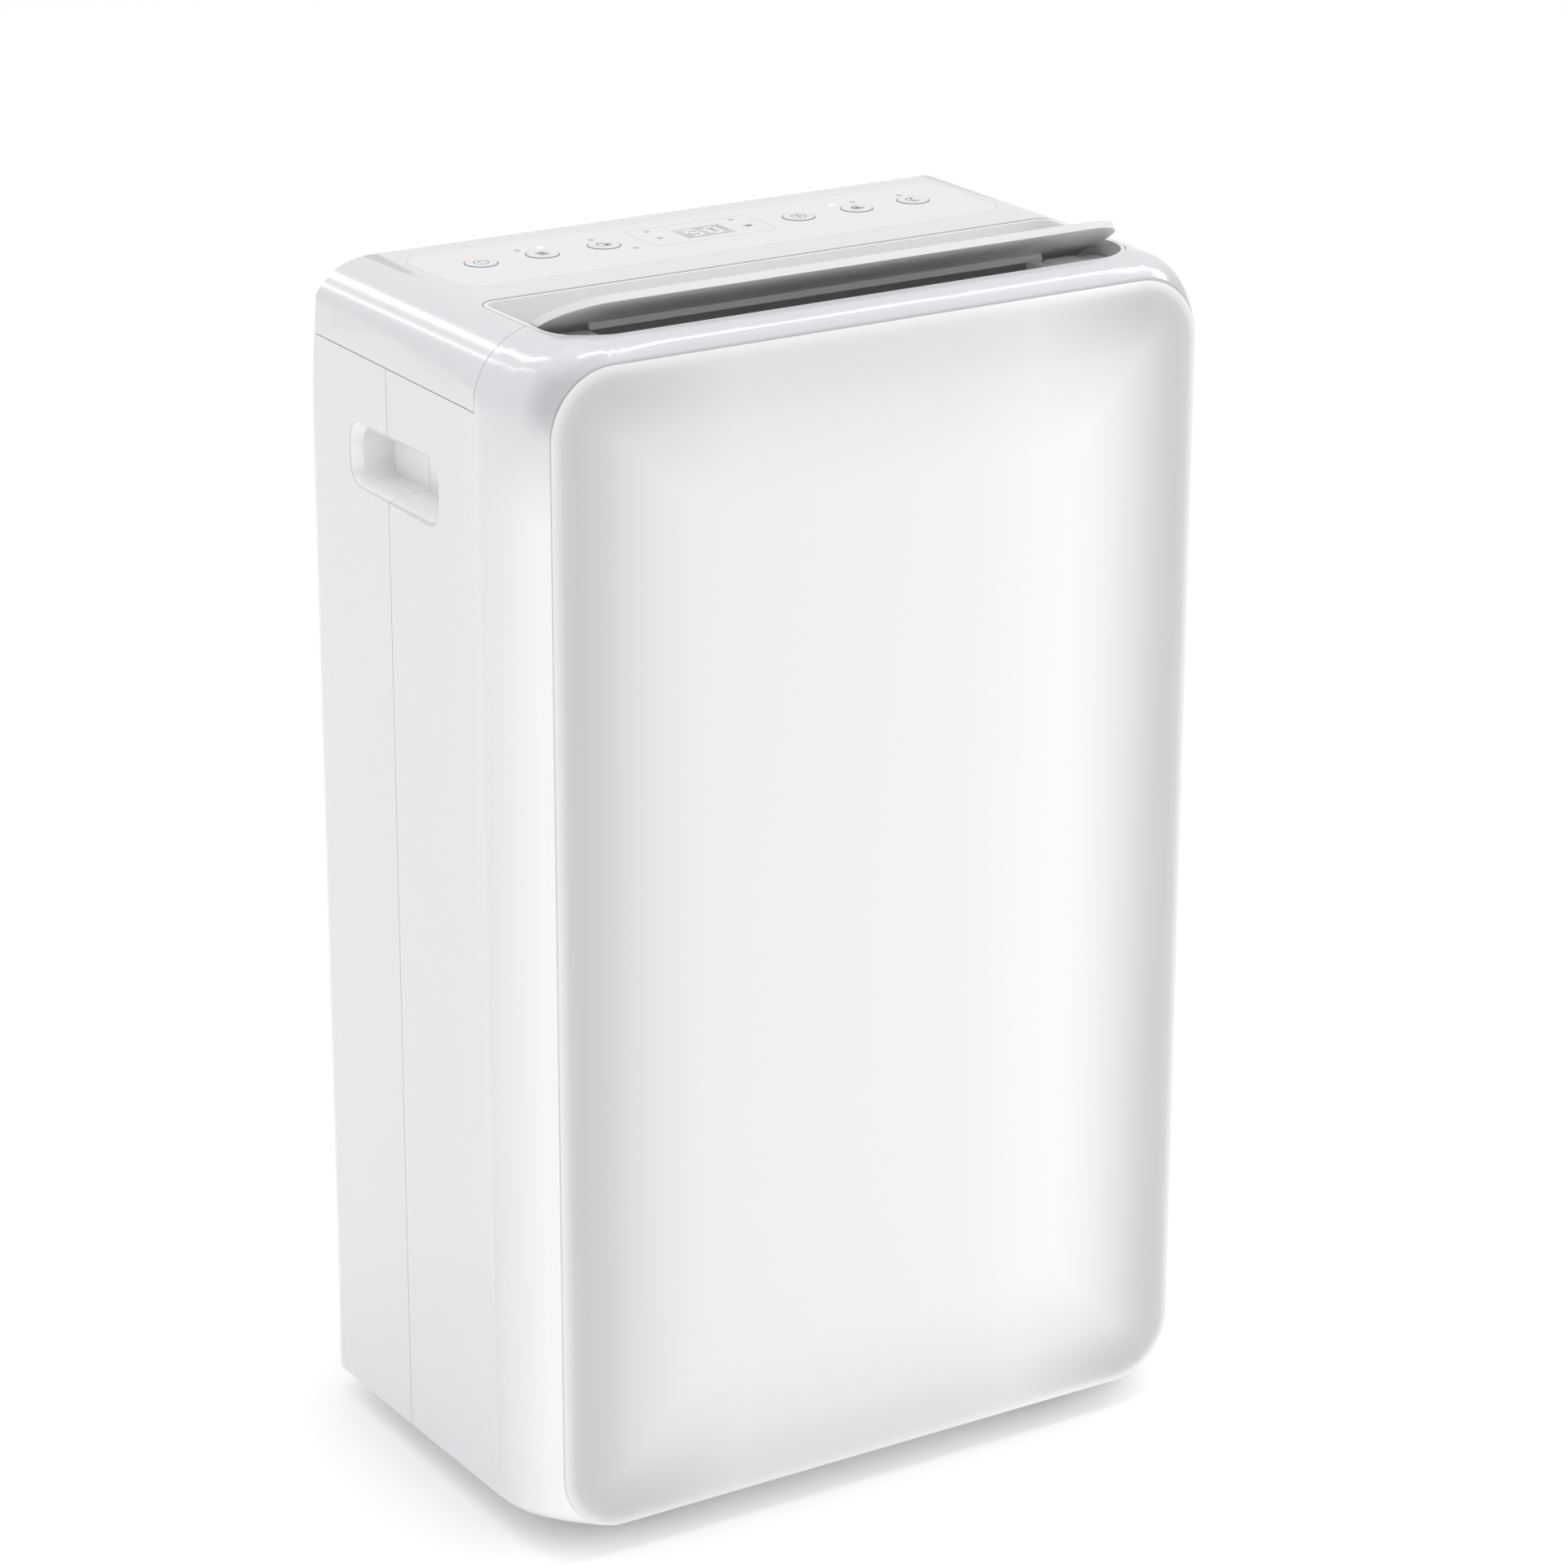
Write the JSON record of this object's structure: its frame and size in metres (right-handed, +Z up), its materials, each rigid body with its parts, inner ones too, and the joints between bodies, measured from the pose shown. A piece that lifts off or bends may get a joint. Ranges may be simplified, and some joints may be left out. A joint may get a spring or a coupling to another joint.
{
  "type": "dehumidifier",
  "caption": "Free-standing white room dehumidifier with a crowned front panel, top air outlet with tilting louver, push buttons, side grips, rear tank and casters.",
  "frame": {"origin": "on the floor under the centre of the casing", "axes": "+Z up, X across the front, -Y towards the front panel"},
  "size_m": [0.362, 0.2321, 0.5935],
  "materials": {
    "panel_gloss": "glossy moulded white",
    "shell_gloss": "glossy moulded white, slightly cool",
    "overlay_film": "smooth printed film",
    "display_clear": "clear window over grey display",
    "led_clear": "clear light pipe",
    "button_satin": "satin silver-white cap",
    "pale_grey_plastic": "satin pale grey",
    "dark_duct_plastic": "matt dark grey",
    "black_plastic": "satin black",
    "wheel_black": "moulded black nylon",
    "black_rubber": "matt black rubber",
    "inner_white_plastic": "satin white",
    "base_plastic": "satin moulded",
    "tank_plastic": "smoky moulded plastic",
    "lid_plastic": "satin white",
    "float_white": "matt foam white",
    "filter_grey": "satin grey",
    "filter_net": "fine woven net",
    "circuit_board": "green laminate",
    "motor_steel": "plated steel",
    "bright_steel": "bright steel",
    "coil_aluminium": "bare aluminium fins",
    "copper": "drawn copper tube",
    "black_enamel": "black enamel"
  },
  "bodies": {
    "casing": {"front_panel": "panel_gloss", "front_shell": "shell_gloss", "rear_shell": "shell_gloss", "top_cover": "shell_gloss", "control_overlay": "overlay_film", "display_window": "display_clear", "led_lenses": "led_clear", "control_board": "circuit_board", "louver_liner": "pale_grey_plastic", "louver_motor": "pale_grey_plastic", "outlet_duct": "dark_duct_plastic", "fan_scroll": "dark_duct_plastic", "scroll_cover": "dark_duct_plastic", "fan_motor": "motor_steel", "condenser": "coil_aluminium", "evaporator": "coil_aluminium", "coil_shroud": "inner_white_plastic", "drain_pan": "inner_white_plastic", "discharge_pipe": "copper", "suction_pipe": "copper", "liquid_pipe": "copper", "filter_drier": "copper", "compressor": "black_enamel", "compressor_grommets": "black_rubber", "electrical_box": "inner_white_plastic", "main_board": "circuit_board", "run_capacitor": "motor_steel", "base_tray": "base_plastic", "tank_bay": "inner_white_plastic", "tank_bay_feet": "inner_white_plastic", "humidity_sensor": "circuit_board", "cable_gland": "black_rubber", "drain_spout": "inner_white_plastic", "case_screws": "bright_steel"},
    "louver": {"louver_vane": "pale_grey_plastic"},
    "fan": {"fan_wheel": "black_plastic", "fan_shaft": "bright_steel"},
    "tank": {"water_tank": "tank_plastic", "tank_lid": "lid_plastic"},
    "float": {"tank_float": "float_white"},
    "intake_cassette": {"rear_grille": "shell_gloss", "filter_frame": "filter_grey", "filter_mesh": "filter_net"},
    "plug": {"drain_plug": "black_rubber"},
    "button_power": {"button_power": "button_satin"},
    "button_mode": {"button_mode": "button_satin"},
    "button_humidity": {"button_humidity": "button_satin"},
    "button_timer": {"button_timer": "button_satin"},
    "button_fan": {"button_fan": "button_satin"},
    "button_sleep": {"button_sleep": "button_satin"},
    "caster_front_left": {"caster_fork_front_left": "black_plastic"},
    "wheel_front_left": {"caster_wheel_front_left": "wheel_black"},
    "caster_front_right": {"caster_fork_front_right": "black_plastic"},
    "wheel_front_right": {"caster_wheel_front_right": "wheel_black"},
    "caster_rear_left": {"caster_fork_rear_left": "black_plastic"},
    "wheel_rear_left": {"caster_wheel_rear_left": "wheel_black"},
    "caster_rear_right": {"caster_fork_rear_right": "black_plastic"},
    "wheel_rear_right": {"caster_wheel_rear_right": "wheel_black"}
  },
  "joints": [
    {"name": "louver_hinge", "type": "hinge", "parent": "casing", "child": "louver", "pos_m": [0, -0.0565, 0.574], "axis": [-1, 0, 0], "range_deg": [-29, 31]},
    {"name": "button_power_press", "type": "slide", "parent": "casing", "child": "button_power", "axis": [0, 0, -1], "range_m": [0, 0.001], "stiffness_N_per_m": 400},
    {"name": "button_mode_press", "type": "slide", "parent": "casing", "child": "button_mode", "axis": [0, 0, -1], "range_m": [0, 0.001], "stiffness_N_per_m": 400},
    {"name": "button_humidity_press", "type": "slide", "parent": "casing", "child": "button_humidity", "axis": [0, 0, -1], "range_m": [0, 0.001], "stiffness_N_per_m": 400},
    {"name": "button_timer_press", "type": "slide", "parent": "casing", "child": "button_timer", "axis": [0, 0, -1], "range_m": [0, 0.001], "stiffness_N_per_m": 400},
    {"name": "button_fan_press", "type": "slide", "parent": "casing", "child": "button_fan", "axis": [0, 0, -1], "range_m": [0, 0.001], "stiffness_N_per_m": 400},
    {"name": "button_sleep_press", "type": "slide", "parent": "casing", "child": "button_sleep", "axis": [0, 0, -1], "range_m": [0, 0.001], "stiffness_N_per_m": 400},
    {"name": "caster_front_left_swivel", "type": "hinge", "parent": "casing", "child": "caster_front_left", "pos_m": [-0.112, -0.066, 0.03], "axis": [0, 0, 1], "continuous": true},
    {"name": "wheel_front_left_spin", "type": "hinge", "parent": "caster_front_left", "child": "wheel_front_left", "pos_m": [-0.112, -0.058, 0.012], "axis": [1, 0, 0], "continuous": true},
    {"name": "caster_front_right_swivel", "type": "hinge", "parent": "casing", "child": "caster_front_right", "pos_m": [0.112, -0.066, 0.03], "axis": [0, 0, 1], "continuous": true},
    {"name": "wheel_front_right_spin", "type": "hinge", "parent": "caster_front_right", "child": "wheel_front_right", "pos_m": [0.112, -0.058, 0.012], "axis": [1, 0, 0], "continuous": true},
    {"name": "caster_rear_left_swivel", "type": "hinge", "parent": "casing", "child": "caster_rear_left", "pos_m": [-0.112, 0.066, 0.03], "axis": [0, 0, 1], "continuous": true},
    {"name": "wheel_rear_left_spin", "type": "hinge", "parent": "caster_rear_left", "child": "wheel_rear_left", "pos_m": [-0.112, 0.074, 0.012], "axis": [1, 0, 0], "continuous": true},
    {"name": "caster_rear_right_swivel", "type": "hinge", "parent": "casing", "child": "caster_rear_right", "pos_m": [0.112, 0.066, 0.03], "axis": [0, 0, 1], "continuous": true},
    {"name": "wheel_rear_right_spin", "type": "hinge", "parent": "caster_rear_right", "child": "wheel_rear_right", "pos_m": [0.112, 0.074, 0.012], "axis": [1, 0, 0], "continuous": true},
    {"name": "fan_spin", "type": "hinge", "parent": "casing", "child": "fan", "pos_m": [0, -0.06, 0.332], "axis": [0, 1, 0], "continuous": true},
    {"name": "tank_slide", "type": "slide", "parent": "casing", "child": "tank", "axis": [0, 1, 0], "range_m": [0, 0.12]},
    {"name": "float_hinge", "type": "hinge", "parent": "tank", "child": "float", "pos_m": [-0.04, 0.028, 0.162], "axis": [1, 0, 0], "range_deg": [0, 12]},
    {"name": "intake_slide", "type": "slide", "parent": "casing", "child": "intake_cassette", "axis": [0, 1, 0], "range_m": [0, 0.06]},
    {"name": "plug_pull", "type": "slide", "parent": "casing", "child": "plug", "axis": [0, 1, 0], "range_m": [0, 0.02]}
  ]
}
